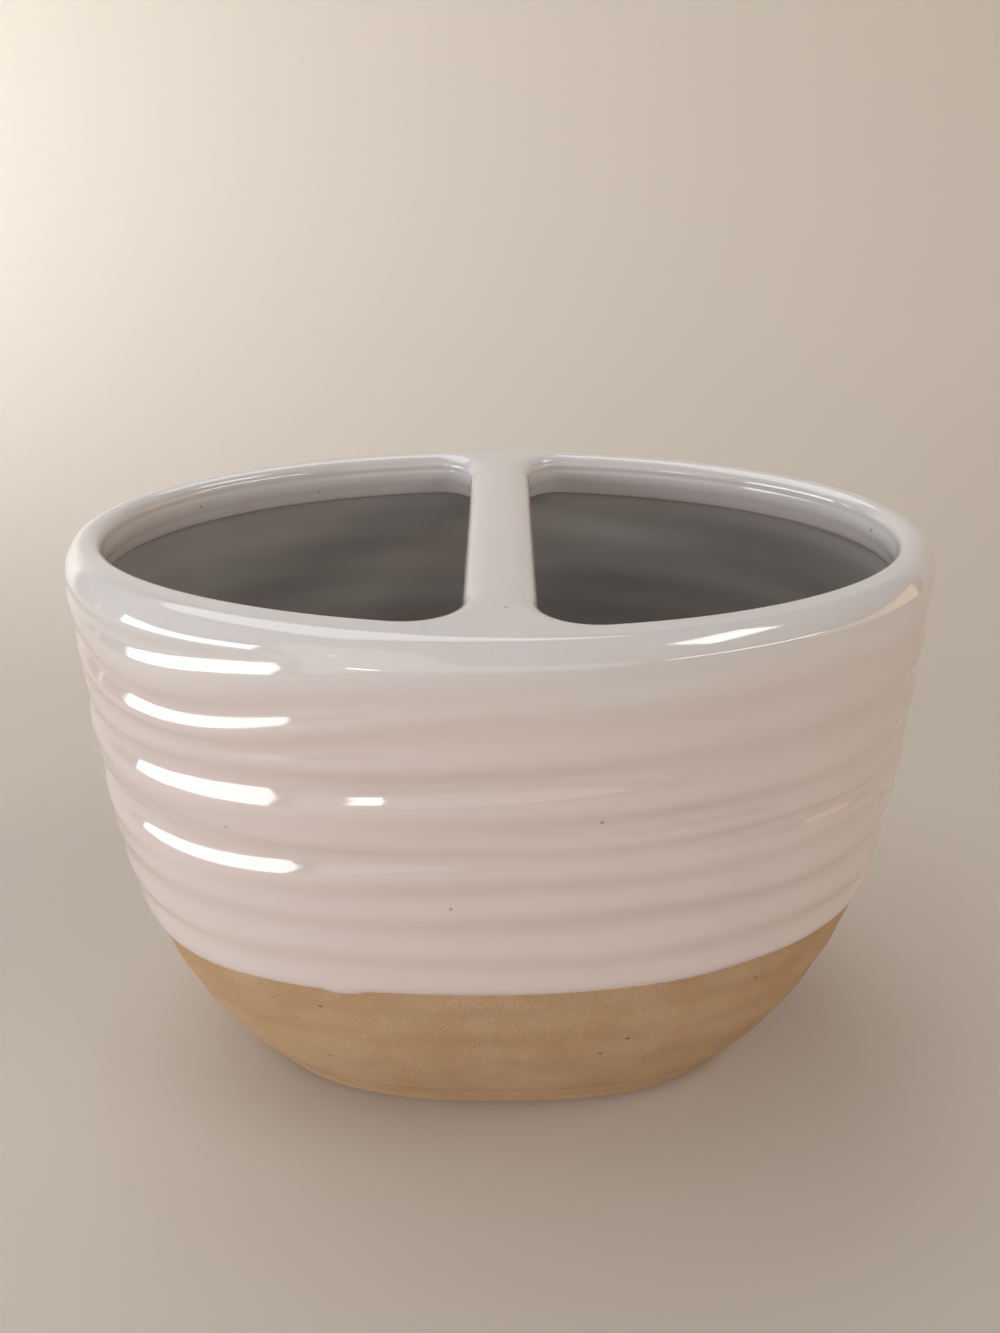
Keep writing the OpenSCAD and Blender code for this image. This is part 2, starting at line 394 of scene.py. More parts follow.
@dataclass(frozen=True)
class PotForm:
    """Shape of the thrown and altered pot: plan, profile, finger rings and glaze edge."""

    sizes: Sizes
    rings: ThrowingSpiral = ThrowingSpiral()
    edge: DippedEdge = DippedEdge()
    marks: HandMarks = HandMarks()
    around: int = 360

    def turns(self) -> Array:
        """Angles of the points round the pot."""
        return np.arange(self.around) * TURN / self.around

    def down(self, z: Array) -> Array:
        """Share of the way down from the lip to the table."""
        return np.clip(1 - z / self.sizes.height, 0, 1)

    def belly(self, z: Array) -> Array:
        """Half width of the smooth outside at a height."""
        s = self.sizes
        return s.foot_half_width + (s.half_width - s.foot_half_width) * (1 - self.down(z) ** s.belly_power)

    def depth_share(self, z: Array) -> Array:
        """Depth of the plan beside its width, a little more towards the foot."""
        s = self.sizes
        return s.half_depth / s.half_width + s.foot_depth_gain * self.down(z)

    def plan(self, turn: Array, z: Array, inset: Array | float) -> Array:
        """Points of the oval plan at a height, which grows squarer towards the foot.

        Args:
            turn: Angle round the plan.
            z: Height above the table.
            inset: How far the points lie inside the smooth outside.

        Returns:
            Points, one for each angle.
        """
        half = self.belly(z)
        power = 2 / (2 + self.sizes.foot_squareness * self.down(z))
        along, across = np.cos(turn), np.sin(turn)
        x = (half - inset) * np.sign(along) * np.abs(along) ** power
        y = (half * self.depth_share(z) - inset) * np.sign(across) * np.abs(across) ** power
        return np.stack([x, y, z], axis=-1)

    def outside(self, turn: Array, z: Array | float, inset: Array | float) -> Array:
        """Points of the ringed outside, a given inset under the glazed surface."""
        z = z + 0 * turn
        return self.plan(turn, z, inset + self.rings.relief(turn, z))

    def inside(self, turn: Array, z: float, coat: float) -> Array:
        """Points of the inside wall, with the cove into the floor.

        Args:
            turn: Angle round the wall.
            z: Height above the table.
            coat: Thickness of glaze on the clay.

        Returns:
            Points, one for each angle.
        """
        s = self.sizes
        radius = s.cove - coat
        up = min(max(z - s.base_top - coat, 0), radius)
        cove = radius - math.sqrt(max(0, radius**2 - (radius - up) ** 2))
        finger = s.inner_ring_depth * np.sin(TURN * z / s.inner_ring_pitch - turn) * up / radius
        return self.plan(turn, z + 0 * turn, s.coat + s.clay_wall + coat + cove + finger)

    def shoulder_drop(self, turn: Array) -> Array:
        """How far under the top the lip's outer bend runs, as it climbs with the rings."""
        s, along = self.sizes, np.cos(turn)
        return s.lip_outer_drop + s.lip_end_drop * along**4 - s.lip_climb * along * (1 - along**2)

    def glaze_edge(self, turn: Array) -> Array:
        """Height of the dipped glaze's lower edge."""
        return self.sizes.glaze_line + self.edge.rise(turn, self.sizes.half_width * np.cos(turn))

    def hand(self, points: Array) -> Array:
        """Points moved by the slow wobble of the hand."""
        return self.marks.move(points, self.sizes)


class SkinBuilder:
    """Grows one surface from rings of points and keeps its faces by part."""

    def __init__(self) -> None:
        """Starts with no points."""
        self.blocks: list[Array] = []
        self.pool: list[Array] = []
        self.thin: list[Array] = []
        self.count = 0
        self.last = np.arange(0)
        self.faces: dict[Part, Faces] = {part: [] for part in Part}

    def ring(self, points: Array, parts: list[Part], pool: Array | float = 0.0,
             thin: Array | float = 0.0) -> Array:
        """Adds a ring of points and joins it to the ring before it with quads.

        Args:
            points: Places of the points, in order.
            parts: Part of each quad, or one part for them all, or none to start anew.
            pool: How much the glaze gathers there, with painted shade in grooves and hollows, from 0 to 1.
            thin: How thin the glaze breaks there, from 0 to 1.

        Returns:
            The numbers of the new points.
        """
        size = len(points)
        new = np.arange(self.count, self.count + size)
        self.blocks.append(points)
        self.pool.append(np.zeros(size) + pool)
        self.thin.append(np.zeros(size) + thin)
        self.count += size
        if parts:
            for i, part in enumerate(parts if len(parts) > 1 else parts * size):
                j = (i + 1) % size
                self.faces[part].append((int(self.last[i]), int(self.last[j]), int(new[j]), int(new[i])))
        self.last = new
        return new

    def fill(self, rim: Array, holes: list[Array], ties: list[tuple[int, int]],
             bar_end: tuple[float, float], upward: bool) -> None:
        """Fills a flat region between a rim and its holes with triangles.

        Args:
            rim: Points of the outer ring.
            holes: Points of each hole's ring.
            ties: Pairs of points that a cut runs between.
            bar_end: Front and back ends of the bar, past which the lip begins.
            upward: Whether the region faces up.
        """
        places = np.concatenate(self.blocks)[:, :2]
        loops = [rim, *holes]
        wanted = np.concatenate(loops)
        number = {int(point): i for i, point in enumerate(wanted)}
        pairs = [pair for loop in loops for pair in zip(loop, np.roll(loop, -1))]
        edges = [(number[int(a)], number[int(b)]) for a, b in (*pairs, *ties)]
        flat = [Vector(places[point]) for point in wanted]
        _, _, triangles, origins, _, _ = delaunay_2d_cdt(flat, edges, [], 0, SAME_PLACE)
        corners = [int(wanted[origin[0]]) for origin in origins]
        left, right = places[ties[0][0]][0], places[ties[0][1]][0]
        for triangle in triangles:
            ids = [corners[i] for i in triangle]
            middle = places[ids].mean(axis=0)
            in_hole = any(inside_loop(middle, places[hole]) for hole in holes)
            if in_hole or not inside_loop(middle, places[rim]):
                continue
            a, b, c = places[ids]
            turned = (b[0] - a[0]) * (c[1] - a[1]) - (b[1] - a[1]) * (c[0] - a[0])
            if (turned > 0) != upward:
                ids.reverse()
            on_bar = bar_end[0] < middle[1] < bar_end[1] and left < middle[0] < right
            self.faces[Part.BAR if on_bar else Part.LIP].append(tuple(ids))

    def close(self, part: Part) -> None:
        """Closes the last ring with a fan to its middle.

        Args:
            part: Part of the fan.
        """
        ring = self.last
        middle = int(self.ring(self.blocks[-1].mean(axis=0)[None, :], [])[0])
        self.faces[part] += [(int(a), int(b), middle) for a, b in zip(ring, np.roll(ring, -1))]


def inside_loop(point: Array, loop: Array) -> bool:
    """Whether a flat point lies inside a closed loop.

    Args:
        point: The point's two coordinates.
        loop: The loop's points, in order.

    Returns:
        True if it lies inside.
    """
    x, y = point
    ahead = np.roll(loop, -1, axis=0)
    spans = (loop[:, 1] > y) != (ahead[:, 1] > y)
    rise = np.where(spans, ahead[:, 1] - loop[:, 1], 1.0)
    cross = loop[:, 0] + (y - loop[:, 1]) * (ahead[:, 0] - loop[:, 0]) / rise
    return bool(np.count_nonzero(spans & (cross > x)) % 2)


def point_normals(points: Array, faces: Faces) -> Array:
    """Smooth normals of a surface's points.

    Args:
        points: Places of the points.
        faces: Triangles and quads.

    Returns:
        One unit normal for each point.
    """
    total = np.zeros_like(points)
    for size in (3, 4):
        rows = np.array([face for face in faces if len(face) == size], dtype=int)
        across = points[rows[:, 2]] - points[rows[:, 0]]
        other = points[rows[:, -1]] - points[rows[:, 1]]
        for k in range(size):
            np.add.at(total, rows[:, k], np.cross(across, other))
    return total / np.maximum(np.linalg.norm(total, axis=1, keepdims=True), TINY)


def border_loops(faces: Faces) -> list[list[int]]:
    """Loops of points round the open borders of a surface.

    Args:
        faces: Faces of the surface.

    Returns:
        Each loop's points, in the order that the faces run.
    """
    ahead = {(a, b): True for face in faces for a, b in zip(face, face[1:] + face[:1])}
    follow = {a: b for a, b in ahead if (b, a) not in ahead}
    loops = []
    while follow:
        start = next(iter(follow))
        loop = [start]
        point = follow.pop(start)
        while point != start:
            loop.append(point)
            point = follow.pop(point)
        loops.append(loop)
    return loops


def stacked_quads(rows: int, size: int, closed: bool) -> Faces:
    """Quads between rings of points that follow each other.

    Args:
        rows: How many rings there are.
        size: Points in a ring.
        closed: Whether the last ring joins the first.

    Returns:
        The quads.
    """
    faces = []
    for k in range(rows if closed else rows - 1):
        low, high = k * size, (k + 1) % rows * size
        for i in range(size):
            j = (i + 1) % size
            faces.append((low + i, low + j, high + j, high + i))
    return faces


@dataclass
class Cut:
    """One part's share of the skin, with its own numbering."""

    points: Array
    normals: Array
    pool: Array
    thin: Array
    faces: Faces


def mesh_object(name: str, points: Array, faces: Faces, normals: Array | None = None,
                masks: dict[str, Array] | None = None) -> Piece:
    """Makes a smooth mesh object.

    Args:
        name: Name of the piece.
        points: Places of its points.
        faces: Its faces.
        normals: Normals that its points keep, if they differ from the mesh's own.
        masks: Values from 0 to 1 on its points, by name.

    Returns:
        The new object, linked to the scene.
    """
    mesh = bpy.data.meshes.new(name)
    mesh.from_pydata(points.tolist(), [], faces)
    mesh.validate()
    for key, values in (masks or {}).items():
        layer = mesh.attributes.new(key, "FLOAT", "POINT")
        layer.data.foreach_set("value", np.asarray(values, dtype=np.float32))
    mesh.polygons.foreach_set("use_smooth", [True] * len(mesh.polygons))
    if normals is not None:
        mesh.normals_split_custom_set_from_vertices(normals.tolist())
    mesh.update()
    return linked(name, mesh)


@dataclass(frozen=True)
class Corner:
    """A round corner of an opening, between the bar's side and the lip's oval.

    It holds its middle and radius, the oval's own angle where they join, and the
    direction out of the corner there, all as if it lay at the back right.
    """

    x: float
    y: float
    radius: float
    turn: float
    heading: float


@dataclass(frozen=True)
class Mouth:
    """The lip's two openings and the divider bar between them."""

    sizes: Sizes
    bar_points: int = 44
    corner_points: int = 18
    oval_points: int = 132
    halvings: int = 50

    def corners(self, extra: float) -> tuple[Corner, Corner]:
        """The front and the back corner of an opening.

        Args:
            extra: How much wider the lip is at the front than at the back.

        Returns:
            Both corners.
        """
        s = self.sizes
        half_depth = s.half_depth - s.lip_width
        return self.join(half_depth - extra, s.front_fillet), self.join(half_depth, s.back_fillet)

    def join(self, b: float, radius: float) -> Corner:
        """Finds the corner that touches both the bar's side and the oval.

        Args:
            b: Half depth of the oval.
            radius: Radius of the corner.

        Returns:
            The corner.
        """
        a = self.sizes.half_width - self.sizes.lip_width
        wanted = self.sizes.bar_half_width + radius
        low, high = 0.0, QUARTER
        for _ in range(self.halvings):
            t = (low + high) / 2
            nx, ny = b * math.cos(t), a * math.sin(t)
            length = math.hypot(nx, ny)
            if a * math.cos(t) - radius * nx / length > wanted:
                low = t
            else:
                high = t
        return Corner(wanted, b * math.sin(t) - radius * ny / length, radius, t, math.atan2(ny, nx))

    def side_loop(self, side: int) -> tuple[Array, Array, Array]:
        """Outline of one opening at its narrowest, seen from above.

        Args:
            side: 1 for the right opening, -1 for the left.

        Returns:
            Its points, their directions out into the clay, and how much each
            belongs to the bar, from 0 to 1.
        """
        s = self.sizes
        a, b = s.half_width - s.lip_width, s.half_depth - s.lip_width
        extra = s.right_lip_extra if side > 0 else s.left_lip_extra
        front, back = self.corners(extra)
        line = np.linspace(back.y, -front.y, self.bar_points, endpoint=False)
        beside, level = np.full_like(line, s.bar_half_width), np.zeros_like(line)
        sweep = np.linspace(-front.turn, back.turn, self.oval_points, endpoint=False)
        deep = np.where(sweep < 0, b - extra, b)
        steep = np.stack([deep * np.cos(sweep), a * np.sin(sweep)], axis=-1)
        stretches = [
            (np.stack([beside, line], axis=-1), np.stack([level - 1, level], axis=-1), level + 1),
            self.bend(front, -front.y, math.pi, TURN - front.heading, True),
            (np.stack([a * np.cos(sweep), deep * np.sin(sweep)], axis=-1),
             steep / np.linalg.norm(steep, axis=1, keepdims=True), np.zeros_like(sweep)),
            self.bend(back, back.y, back.heading, math.pi, False),
        ]
        loop, away, share = (np.concatenate(kind) for kind in zip(*stretches))
        if side < 0:
            loop, away, share = loop[::-1] * [-1, 1], away[::-1] * [-1, 1], share[::-1]
        return loop, away, share

    def bend(self, corner: Corner, y: float, start: float, end: float,
             leaving: bool) -> tuple[Array, Array, Array]:
        """The outline's stretch round one corner.

        Args:
            corner: The corner.
            y: Its middle along the bar.
            start: Angle that it begins at.
            end: Angle that it ends at.
            leaving: Whether the outline leaves the bar here.

        Returns:
            Its points, their directions, and their shares of the bar.
        """
        angle = np.linspace(start, end, self.corner_points, endpoint=False)
        ray = np.stack([np.cos(angle), np.sin(angle)], axis=-1)
        share = np.linspace(0, 1, self.corner_points, endpoint=False)
        if leaving:
            share = 1 - share
        return np.array([corner.x, y]) + corner.radius * ray, ray, eased(share)

    def bar_ends(self) -> tuple[float, float]:
        """Front and back ends of the bar's straight stretch."""
        front, back = self.corners(max(self.sizes.left_lip_extra, self.sizes.right_lip_extra))
        return -front.y, back.y


@dataclass(frozen=True)
class LipShoulder:
    """Outer edge of the lip: a soft bend, a slope that eases, then a round to the flat top.

    The slope of the surface is given in degrees at shares of the way over it.
    """

    shares: tuple[float, ...] = (0.0, 0.16, 0.66, 1.0)
    slopes: tuple[float, ...] = (0.0, 29.0, 50.0, 90.0)
    samples: int = 401

    def place(self, share: float) -> tuple[float, float]:
        """A point of the edge.

        Args:
            share: From 0 at the upright wall to 1 at the flat top.

        Returns:
            The shares of its reach inward and of its rise.
        """
        way = np.linspace(0, 1, self.samples)
        slope = np.radians(np.interp(way, self.shares, self.slopes))
        inward, upward = np.cumsum(np.sin(slope)), np.cumsum(np.cos(slope))
        along, up = (np.interp(share, way, sums / sums[-1]) for sums in (inward, upward))
        return float(along), float(up)


@dataclass
class GlazedSkin:
    """The whole glazed surface, from the dipped edge over the lip to the floor."""

    form: PotForm
    wall_rows: int = 132
    wall_crowding: float = 1.12
    upright_rows: int = 8
    shoulder_rows: int = 26
    shoulder_thin: float = 0.15
    edge_rows: int = 11
    edge_roundness: float = 2.25
    edge_thin: float = 0.2
    bar_thin: float = 0.2
    face_rows: int = 18
    face_swell: float = 0.2 * MM
    swell_share: float = 0.625
    under_sharpness: float = 3.2
    # Painted shade on the low part of the openings' inner faces, under the lip's overhang, and how sharply
    # it gathers at the bottom.
    under_lip_shade: float = 0.4
    under_lip_shade_sharpness: float = 4.0
    liner_rows: int = 60
    cove_rows: int = 10
    # Painted shade on the inside wall.
    liner_shade: float = 0.2
    floor_shares: tuple[float, ...] = (0.92, 0.8, 0.62, 0.42, 0.22, 0.08)
    floor_dish: float = 0.25 * MM
    # Deeper painted shade on the inside floor.
    floor_shade: float = 0.5
    points: Array = field(default_factory=lambda: np.zeros((0, 3)))
    normals: Array = field(default_factory=lambda: np.zeros((0, 3)))
    builder: SkinBuilder = field(default_factory=SkinBuilder)

    def grow(self) -> None:
        """Builds the surface and its normals."""
        mouth = Mouth(self.form.sizes)
        ends = mouth.bar_ends()
        top = self.outer_wall()
        holes, soffits = self.openings(mouth)
        self.builder.fill(top, [ring for ring, _ in holes], self.cuts(holes), ends, True)
        ceiling = self.liner()
        self.builder.fill(ceiling, [ring for ring, _ in soffits], self.cuts(soffits), ends, False)
        self.points = self.form.hand(np.concatenate(self.builder.blocks))
        self.normals = point_normals(self.points, sum(self.builder.faces.values(), []))

    def outer_wall(self) -> Array:
        """Grows the outer glaze and the lip's outer edge.

        Returns:
            The ring where the lip's flat top begins.
        """
        s, form, turn = self.form.sizes, self.form, self.form.turns()
        edge = form.glaze_edge(turn)
        for share in (0, *steps(self.wall_rows)):
            above = (s.lip_floor - edge) * share**self.wall_crowding
            # The grooves' darkening is pooled glaze with painted shade.
            pool = form.edge.pool(above, form.rings.relief(turn, edge + above) / form.rings.depth)
            points = form.outside(turn, edge + above, form.edge.inset(above, s.coat))
            self.builder.ring(points, [Part.OUTER] if share else [], pool, form.edge.thin(above))
        drop = form.shoulder_drop(turn)
        for share in steps(self.upright_rows):
            z = s.lip_floor + (s.height - drop - s.lip_floor) * share
            self.builder.ring(form.outside(turn, z, 0.0), [Part.LIP])
        shoulder = LipShoulder()
        for share in steps(self.shoulder_rows):
            along, up = shoulder.place(share)
            points = form.outside(turn, s.height - drop * (1 - up), s.lip_outer_round * along)
            self.builder.ring(points, [Part.LIP], 0.0, self.shoulder_thin * arch(share))
        return self.builder.last

    def openings(self, mouth: Mouth) -> tuple[list, list]:
        """Grows the rounded edges and the inner faces of both openings.

        Args:
            mouth: The openings' outlines.

        Returns:
            For each opening, its ring on the top face and its ring on the
            underside, each with its shares of the bar.
        """
        s = self.form.sizes
        tops, soffits = [], []
        high = s.height - s.lip_inner_drop
        for side in (-1, 1):
            loop, away, own = mouth.side_loop(side)
            straight = (own > FULL_SHARE) & (np.roll(own, -1) > FULL_SHARE)
            parts = [Part.BAR if here else Part.LIP for here in straight]
            reach = s.lip_inner_round + (s.bar_crown - s.lip_inner_round) * own
            for share in (*steps(self.edge_rows)[::-1], 0.0):
                along, up = self.round_edge(share)
                flat = loop + away * (reach * along)[:, None]
                points = raised(flat, s.height - s.lip_inner_drop * (1 - up))
                thin = (self.edge_thin + self.bar_thin * own) * arch(share)
                ring = self.builder.ring(points, parts if share < 1 else [], 0.0, thin)
                if share == 1:
                    tops.append((ring, own))
            for share in steps(self.face_rows):
                swell = self.face_swell * math.sin(math.pi * min(1, share / self.swell_share))
                out = s.lip_under_round * share**self.under_sharpness - swell
                points = raised(loop + away * out, high + (s.lip_floor - high) * share)
                # Painted shade under the lip's overhang, darker towards the bottom of the face.
                self.builder.ring(points, parts, self.under_lip_shade * share**self.under_lip_shade_sharpness)
            soffits.append((self.builder.last, own))
        return tops, soffits

    def round_edge(self, share: float) -> tuple[float, float]:
        """Shares of an inner edge's reach and rise, from 0 at its face to 1 at the flat top."""
        power = 2 / self.edge_roundness
        return 1 - math.cos(QUARTER * share) ** power, math.sin(QUARTER * share) ** power

    def cuts(self, holes: list[tuple[Array, Array]]) -> list[tuple[int, int]]:
        """Pairs of points that the cuts across the bar run between.

        Args:
            holes: The left and the right opening's rings, with their shares of
                the bar.

        Returns:
            The front pair and the back pair, each from left to right.
        """
        places = np.concatenate(self.builder.blocks)
        ends = []
        for ring, own in holes:
            straight = ring[own > FULL_SHARE]
            order = straight[np.argsort(places[straight][:, 1])]
            ends.append((int(order[0]), int(order[-1])))
        return list(zip(*ends))

    def liner(self) -> Array:
        """Grows the glaze on the inside wall and the floor.

        Returns:
            The ring where the wall meets the lip's underside.
        """
        s, turn = self.form.sizes, self.form.turns()
        bend, floor = s.base_top + s.cove, s.base_top + s.coat
        heights = np.linspace(s.lip_floor, bend, self.liner_rows)[1:]
        cove = bend - (bend - floor) * np.sin(QUARTER * steps(self.cove_rows))
        # The inside wall and floor carry painted shade.
        ceiling = self.builder.ring(self.form.inside(turn, s.lip_floor, s.coat), [], self.liner_shade)
        for z in (*heights, *cove):
            self.builder.ring(self.form.inside(turn, z, s.coat), [Part.LINER], self.liner_shade)
        rim = self.builder.blocks[-1]
        for share in self.floor_shares:
            dish = self.floor_dish * (1 - share**2)
            self.builder.ring(rim * [share, share, 1] + [0, 0, dish], [Part.LINER], self.floor_shade)
        self.builder.close(Part.LINER)
        return ceiling

    def cut(self, part: Part) -> Cut:
        """Takes one part out of the skin.

        Args:
            part: The part to take.

        Returns:
            Its points, normals, masks and faces.
        """
        faces = self.builder.faces[part]
        used = np.unique(np.concatenate(faces))
        number = {int(point): i for i, point in enumerate(used)}
        pool, thin = (np.concatenate(mask)[used] for mask in (self.builder.pool, self.builder.thin))
        own = [tuple(number[point] for point in face) for face in faces]
        return Cut(self.points[used], self.normals[used], pool, thin, own)


@dataclass
class GlazeCoat:
    """A coat of glaze: the skin of one part, given its thickness."""

    skin: GlazedSkin
    part: Part
    name: str
    thickness: float = 0.48 * MM

    def build(self) -> Piece:
        """Builds the coat as a closed shell.

        Returns:
            The coat.
        """
        cut = self.skin.cut(self.part)
        size = len(cut.points)
        points = np.concatenate([cut.points, cut.points - self.thickness * cut.normals])
        faces = list(cut.faces)
        faces += [tuple(point + size for point in reversed(face)) for face in cut.faces]
        for loop in border_loops(cut.faces):
            faces += [(b, a, a + size, b + size) for a, b in zip(loop, loop[1:] + loop[:1])]
        normals = np.concatenate([cut.normals, -cut.normals])
        masks = {"pool": np.tile(cut.pool, 2), "thin": np.tile(cut.thin, 2)}
        return mesh_object(self.name, points, faces, normals, masks)


@dataclass
class ClayCore:
    """Clay of the lip or the bar, under its coat."""

    skin: GlazedSkin
    part: Part
    name: str

    def build(self) -> Piece:
        """Builds the clay as a closed solid, capped where it was luted on.

        Returns:
            The clay.
        """
        cut = self.skin.cut(self.part)
        form = self.skin.form
        points = cut.points - form.sizes.coat * cut.normals
        faces = list(cut.faces)
        loops = border_loops(cut.faces)
        rings = [loop for loop in loops if len(loop) == form.around]
        for loop in loops:
            if loop in rings:
                continue
            middle = len(points)
            points = np.vstack([points, points[loop].mean(axis=0)])
            faces += [(b, a, middle) for a, b in zip(loop, loop[1:] + loop[:1])]
        if len(rings) == 2:
            faces += self.annulus(points, *rings)
        return mesh_object(self.name, points, faces)

    def annulus(self, points: Array, one: list[int], other: list[int]) -> Faces:
        """Faces of the flat ring between two borders that run opposite ways.

        Args:
            points: Places of the points.
            one: One border.
            other: The other border, with as many points.

        Returns:
            The faces.
        """
        back = other[::-1]
        start = int(np.argmin(np.linalg.norm(points[back] - points[one[0]], axis=1)))
        back = back[start:] + back[:start]
        size = len(one)
        return [(one[(i + 1) % size], one[i], back[i], back[(i + 1) % size]) for i in range(size)]


@dataclass
class ThrownWall:
    """The clay wall between the base slab and the lip."""

    form: PotForm
    shown_above: float = 5 * MM
    shown_rows: int = 56
    hidden_rows: int = 24
    cove_rows: int = 8

    def build(self) -> Piece:
        """Builds the wall as one closed ring of clay, finer where it is bare.

        Returns:
            The wall.
        """
        s, turn = self.form.sizes, self.form.turns()
        shown = s.glaze_line + self.shown_above
        outer = [*np.linspace(s.base_top, shown, self.shown_rows)]
        outer += [*np.linspace(shown, s.lip_floor, self.hidden_rows)[1:]]
        inner = [*np.linspace(s.lip_floor, s.base_top + s.cove, self.hidden_rows)]
        inner += [*(s.base_top + s.cove * (1 - np.sin(QUARTER * steps(self.cove_rows))))]
        rows = [self.form.outside(turn, z, s.coat) for z in outer]
        rows += [self.form.inside(turn, z, 0.0) for z in inner]
        faces = stacked_quads(len(rows), self.form.around, True)
        return mesh_object("wall_clay", self.form.hand(np.concatenate(rows)), faces)


@dataclass
class BaseSlab:
    """The flat clay slab that the wall stands on, with its wiped lower edge."""

    form: PotForm
    wiped_edge: float = 2.4 * MM
    edge_rows: int = 8
    side_rows: int = 7
    under_shares: tuple[float, ...] = (0.1, 0.35, 0.6, 0.8, 0.93, 0.98)
    top_shares: tuple[float, ...] = (0.9, 0.6, 0.3, 0.1)

    def build(self) -> Piece:
        """Builds the slab as one closed solid.

        Returns:
            The slab.
        """
        s, turn, edge = self.form.sizes, self.form.turns(), self.wiped_edge
        rounded = []
        for share in (0, *steps(self.edge_rows)):
            ring = self.form.outside(turn, edge, s.coat + edge * (1 - math.sin(QUARTER * share)))
            ring[:, 2] = edge * (1 - math.cos(QUARTER * share))
            rounded.append(ring)
        rows = [rounded[0] * [share, share, 1] for share in self.under_shares] + rounded
        rows += [self.form.outside(turn, edge + (s.base_top - edge) * share, s.coat)
                 for share in steps(self.side_rows)]
        rows += [rows[-1] * [share, share, 1] for share in self.top_shares]
        around, count = self.form.around, len(rows)
        points = np.vstack([*rows, [0, 0, 0], [0, 0, s.base_top]])
        under, over, last = count * around, count * around + 1, (count - 1) * around
        faces = [((i + 1) % around, i, under) for i in range(around)]
        faces += [(last + i, last + (i + 1) % around, over) for i in range(around)]
        faces += stacked_quads(count, around, False)
        return mesh_object("base_clay", self.form.hand(points), faces)


class NodePad:
    """Short calls that add and link shader nodes in one tree."""

    def __init__(self, tree: bpy.types.NodeTree) -> None:
        """Keeps the tree to work in, emptied."""
        self.tree = tree
        self.tree.nodes.clear()

    def add(self, kind: str, inputs: dict[str | int, object] | None = None, **settings: object) -> Node:
        """Adds a node.

        Args:
            kind: Blender's name for the node type.
            inputs: What its inputs get, by name or number.
            **settings: Its other properties.

        Returns:
            The node.
        """
        node = self.tree.nodes.new(kind)
        for name, value in settings.items():
            setattr(node, name, value)
        self.feed(node, inputs or {})
        return node

    def feed(self, node: Node, inputs: dict[str | int, object]) -> None:
        """Links or sets a node's inputs.

        Args:
            node: The node.
            inputs: A socket to link, or a number, a vector or a colour to set, by
                the input's name or number.
        """
        for name, value in inputs.items():
            socket = node.inputs[name]
            if isinstance(value, Socket):
                self.tree.links.new(value, socket)
            else:
                socket.default_value = (*value, 1.0) if socket.type == "RGBA" else value

    def math(self, operation: str, *values: object) -> Socket:
        """The result of a math node with sockets or numbers as its inputs."""
        return self.add("ShaderNodeMath", dict(enumerate(values)), operation=operation).outputs[0]

    def ramp(self, value: Socket, low: float, high: float) -> Socket:
        """Smoothly turns a value between two limits into 0 to 1."""
        inputs = {"Value": value, "From Min": low, "From Max": high}
        return self.add("ShaderNodeMapRange", inputs, interpolation_type="SMOOTHSTEP").outputs["Result"]

    def mix(self, share: Socket, first: Socket | Colour, second: Socket | Colour) -> Socket:
        """Mixes two colours, by the share of the second."""
        return self.add("ShaderNodeMix", {0: share, 6: first, 7: second}, data_type="RGBA").outputs[2]

    def tint(self, colour: Socket, mask: Socket, strength: float, other: Colour) -> Socket:
        """Turns a colour towards another one where a mask says so."""
        return self.mix(self.math("MULTIPLY", mask, strength), colour, other)

    def noise(self, place: Socket, scale: Socket | float, detail: float = 2.0,
              rough: float = 0.5) -> Socket:
        """The value of a noise texture."""
        inputs = {"Vector": place, "Scale": scale, "Detail": detail, "Roughness": rough}
        return self.add("ShaderNodeTexNoise", inputs).outputs["Fac"]


